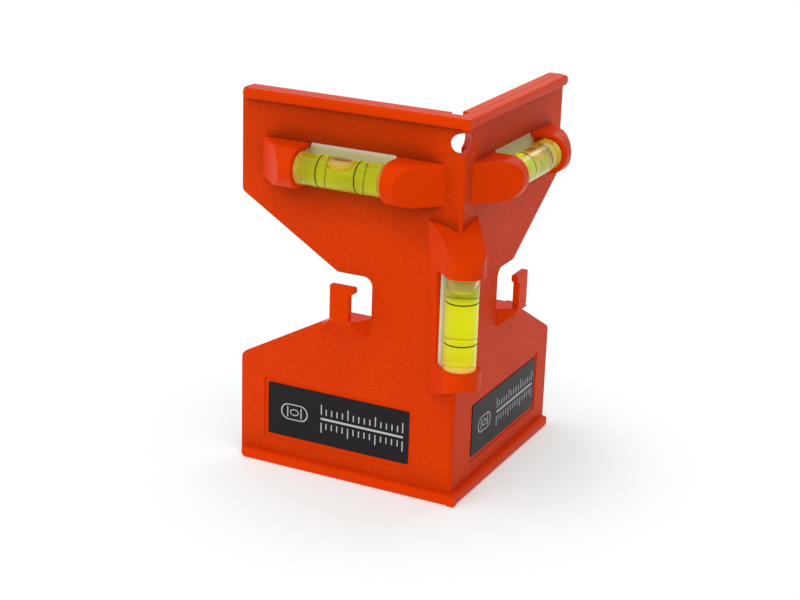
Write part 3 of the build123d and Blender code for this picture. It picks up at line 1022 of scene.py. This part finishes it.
def print_mesh(name):
    """A plain scale beside a plain sign for a spirit level, drawn about the label's middle."""
    chosen = settings("labels")
    mesh = bpy.data.meshes.new(name)
    shape = bmesh.new()
    half = chosen.line_length / 2
    middle_x = SCALE_START + half
    flat_bar(shape, middle_x, 0, half, chosen.line / 2)
    fine = chosen.line * TICK_WIDTH
    for i in range(chosen.ticks + 1):
        share = 2 * i / chosen.ticks - 1
        tall = SHORT_TICK if i % TICKS_PER_TALL else TALL_TICK
        away = chosen.line / 2 + TICK_GAP + tall / 2
        inset = fine / 2 * (int(i == 0) - int(i == chosen.ticks))
        for y in (away, -away):
            flat_bar(shape, middle_x + share * half + inset, y, fine / 2, tall / 2)
    vial_sign(shape)
    shape.to_mesh(mesh)
    shape.free()
    return mesh


def outline_loop(shape, points, width):
    """A printed outline: a band of even width inside a closed loop of points round its middle."""
    centre = sum((Vector(p) for p in points), Vector((0, 0))) / len(points)
    bands = []
    for inset, height in ((0, 0), (0, PRINT_THICKNESS), (width, PRINT_THICKNESS), (width, 0)):
        loop = []
        for p in points:
            away = Vector(p) - centre
            spot = centre + away * (1 - inset / away.length)
            loop.append(shape.verts.new((spot.x, spot.y, height)))
        bands.append(loop)
    for first, second in zip(bands, bands[1:] + bands[:1]):
        bridge(shape, first, second)


def vial_sign(shape):
    """The usual sign for a spirit vial: a long round-ended outline, two lines and a bubble."""
    line = settings("labels").line
    straight = SIGN_HALF - SIGN_RADIUS
    points = []
    for side in (1, -1):
        for a in (math.pi * (i / 16 - 0.5) for i in range(17)):
            x = straight + SIGN_RADIUS * math.cos(a)
            points.append((SIGN_PLACE + side * x, side * SIGN_RADIUS * math.sin(a)))
    outline_loop(shape, points, line * SIGN_WIDTH)
    for side in (1, -1):
        flat_bar(shape, SIGN_PLACE + side * SIGN_LINE_PLACE, 0, *SIGN_LINE)
    wide, tall = SIGN_BUBBLE
    oval = [(SIGN_PLACE + wide * math.cos(a), tall * math.sin(a)) for a in circle(32)]
    outline_loop(shape, oval, line * SIGN_BUBBLE_WIDTH)


def make_labels():
    """The black labels, and their print as a thin layer on each."""
    dress(("left_label", "right_label"), label_film())
    ink = label_ink()
    for side in ("left", "right"):
        low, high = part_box(f"{side}_label")
        centre = (low + high) / 2
        if side == "left":
            across, out = Vector((1, 0, 0)), Vector((0, -1, 0))
            centre.y = low.y
        else:
            across, out = Vector((0, 1, 0)), Vector((1, 0, 0))
            centre.x = high.x
        turn = Matrix((across, Vector((0, 0, 1)), out)).transposed().to_4x4()
        mesh = print_mesh(f"{side}_print")
        mesh.transform(Matrix.Translation(centre - out * PRINT_SINK) @ turn)
        show(f"{side}_print", mesh, "frame", ink)


class AngleLevelOperator:
    """What the operators share."""

    bl_options = {"REGISTER"}


class ANGLELEVEL_OT_mouldings(AngleLevelOperator, bpy.types.Operator):
    """Finishes the moulded shell and its back plates"""

    bl_idname = "angle_level.mouldings"
    bl_label = "Mouldings"

    def execute(self, context):
        dress(("frame_shell", "left_back_plate", "right_back_plate"), moulded_abs())
        return {"FINISHED"}


class ANGLELEVEL_OT_strips(AngleLevelOperator, bpy.types.Operator):
    """Finishes the white strips behind the vials"""

    bl_idname = "angle_level.strips"
    bl_label = "White strips"

    def execute(self, context):
        for side in SIDES:
            dress([f"{side}_vial_backing"], strip_plastic(side))
        return {"FINISHED"}


class ANGLELEVEL_OT_barrels(AngleLevelOperator, bpy.types.Operator):
    """Makes the clear barrels, their plugs and their ring lines"""

    bl_idname = "angle_level.barrels"
    bl_label = "Barrels, plugs and rings"

    def execute(self, context):
        make_tubes()
        return {"FINISHED"}


class ANGLELEVEL_OT_liquids(AngleLevelOperator, bpy.types.Operator):
    """Makes the dyed liquid in the vials"""

    bl_idname = "angle_level.liquids"
    bl_label = "Liquids"

    def execute(self, context):
        make_liquids()
        return {"FINISHED"}


class ANGLELEVEL_OT_bubbles(AngleLevelOperator, bpy.types.Operator):
    """Makes the bubbles, which move with their vials' joints"""

    bl_idname = "angle_level.bubbles"
    bl_label = "Bubbles"

    def execute(self, context):
        make_bubbles()
        return {"FINISHED"}


class ANGLELEVEL_OT_labels(AngleLevelOperator, bpy.types.Operator):
    """Finishes the labels and adds their plain print"""

    bl_idname = "angle_level.labels"
    bl_label = "Labels"

    def execute(self, context):
        make_labels()
        return {"FINISHED"}


def floor_material():
    """Matt white paper sweep: it keeps the level's shadow and fades to plain white round it."""
    material, tree = new_material("matt_paper_white")
    place = add(tree, "TexCoord", output="Object")
    fibre = add(tree, "TexNoise", {"Vector": place, "Scale": 1 / PAPER_WIDTH})
    strength, depth = PAPER_BUMP
    fibre = add(tree, "Bump", {"Strength": strength, "Distance": depth, "Height": fibre})
    paper = add(tree, "BsdfDiffuse", {"Color": tuple(settings("stage").floor), "Normal": fibre})
    path = add(tree, "LightPath", output=None)
    seen = path["Is Camera Ray"]
    for name in ("Is Glossy Ray", "Is Transmission Ray"):
        seen = add(tree, "Math", [seen, path[name]], operation="MAXIMUM")
    glow = add(tree, "Emission", {"Color": colour(LIFT_TINT), "Strength": FLOOR_LIFT})
    lifted = add(tree, "AddShader", [paper, glow])
    plain = add(tree, "Emission", {"Color": (1, 1, 1), "Strength": 1.0})
    away = add(tree, "VectorMath", [place], "Value", operation="LENGTH")
    fade = add(tree, "MapRange", [away, *FLOOR_FADE], interpolation_type="SMOOTHSTEP")
    shown = add(tree, "MixShader", [fade, lifted, plain])
    add(tree, "OutputMaterial", {"Surface": add(tree, "MixShader", [seen, lifted, shown])})
    return material


def make_floor():
    """A wide round sheet under the level."""
    mesh = bpy.data.meshes.new("floor")
    shape = bmesh.new()
    bmesh.ops.create_circle(shape, cap_ends=True, radius=FLOOR_RADIUS, segments=96)
    shape.to_mesh(mesh)
    shape.free()
    mesh.materials.append(floor_material())
    floor = bpy.data.objects.new("floor", mesh)
    bpy.context.scene.collection.objects.link(floor)


def make_world():
    """White to the eye, in reflections and through clear parts, and a soft light on the object."""
    world = bpy.data.worlds.new("studio")
    bpy.context.scene.world = world
    world.use_nodes = True
    tree = world.node_tree
    tree.nodes.clear()
    path = add(tree, "LightPath", output=None)
    seen = path["Is Camera Ray"]
    for name in ("Is Glossy Ray", "Is Transmission Ray"):
        seen = add(tree, "Math", [seen, path[name]], operation="MAXIMUM")
    way = add(tree, "TexCoord", output="Generated")
    facing = add(tree, "VectorMath", [way, BRIGHT_SIDE], "Value", operation="DOT_PRODUCT")
    given = add(tree, "MapRange", [facing, -1, 1, *WORLD_LIGHT])
    level = add(tree, "MapRange", [seen, 0, 1, given, 1.0])
    light = add(tree, "Background", {"Color": (1, 1, 1), "Strength": level})
    add(tree, "OutputWorld", {"Surface": light})


def make_lamps():
    """Soft lamps round the level."""
    for name, (place, size, power) in LAMPS.items():
        lamp = bpy.data.lights.new(name, "AREA")
        lamp.shape = "DISK"
        lamp.size = size
        lamp.energy = power
        holder = bpy.data.objects.new(name, lamp)
        bpy.context.scene.collection.objects.link(holder)
        holder.location = place
        facing = Vector(LAMP_AIM) - Vector(place)
        holder.rotation_euler = facing.to_track_quat("-Z", "Y").to_euler()


def make_camera():
    """The camera at the photograph's viewing angle."""
    chosen = settings("stage")
    turn, lift, roll = chosen.azimuth, chosen.elevation, chosen.roll
    reach = math.cos(lift)
    back = Vector((math.sin(turn) * reach, -math.cos(turn) * reach, math.sin(lift)))
    level = Vector((math.cos(turn), math.sin(turn), 0))
    right = math.cos(roll) * level + math.sin(roll) * back.cross(level)
    axes = Matrix((right, back.cross(right), back)).transposed().to_4x4()
    camera = bpy.data.cameras.new("camera")
    camera.lens = chosen.focal_length
    camera.sensor_width = SENSOR_WIDTH
    camera.sensor_fit = "HORIZONTAL"
    camera.clip_start = 10 * MM
    holder = bpy.data.objects.new("camera", camera)
    bpy.context.scene.collection.objects.link(holder)
    holder.matrix_world = Matrix.Translation(Vector(chosen.target) + back * chosen.distance) @ axes
    bpy.context.scene.camera = holder


class ANGLELEVEL_OT_stage(AngleLevelOperator, bpy.types.Operator):
    """Sets the floor, the lamps, the background and the camera"""

    bl_idname = "angle_level.stage"
    bl_label = "Stage"

    def execute(self, context):
        make_floor()
        make_world()
        make_lamps()
        make_camera()
        context.scene.view_settings.view_transform = "Standard"
        return {"FINISHED"}


OPERATORS = (
    ANGLELEVEL_OT_mouldings,
    ANGLELEVEL_OT_strips,
    ANGLELEVEL_OT_barrels,
    ANGLELEVEL_OT_liquids,
    ANGLELEVEL_OT_bubbles,
    ANGLELEVEL_OT_labels,
    ANGLELEVEL_OT_stage,
)


class ANGLELEVEL_PT_panel(bpy.types.Panel):
    """Lists the groups of pieces and their sizes and colours"""

    bl_label = "Angle Level"
    bl_idname = "ANGLELEVEL_PT_panel"
    bl_space_type = "VIEW_3D"
    bl_region_type = "UI"
    bl_category = "Angle Level"

    def draw(self, context):
        layout = self.layout
        for operator in OPERATORS:
            layout.operator(operator.bl_idname)
        for name in GROUPS:
            box = layout.box()
            box.label(text=name.capitalize())
            group = settings(name)
            for key in group.bl_rna.properties.keys():
                if key not in ("rna_type", "name"):
                    box.prop(group, key)


def register():
    for name, group in GROUPS.items():
        bpy.utils.register_class(group)
        setattr(bpy.types.Scene, f"angle_level_{name}", PointerProperty(type=group))
    for operator in OPERATORS:
        bpy.utils.register_class(operator)
    bpy.utils.register_class(ANGLELEVEL_PT_panel)


def unregister():
    bpy.utils.unregister_class(ANGLELEVEL_PT_panel)
    for operator in reversed(OPERATORS):
        bpy.utils.unregister_class(operator)
    for name, group in reversed(GROUPS.items()):
        delattr(bpy.types.Scene, f"angle_level_{name}")
        bpy.utils.unregister_class(group)


def main():
    """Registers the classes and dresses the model."""
    register()
    bpy.ops.angle_level.mouldings()
    bpy.ops.angle_level.strips()
    bpy.ops.angle_level.barrels()
    bpy.ops.angle_level.liquids()
    bpy.ops.angle_level.bubbles()
    bpy.ops.angle_level.labels()
    bpy.ops.angle_level.stage()


if __name__ == "__main__":
    main()
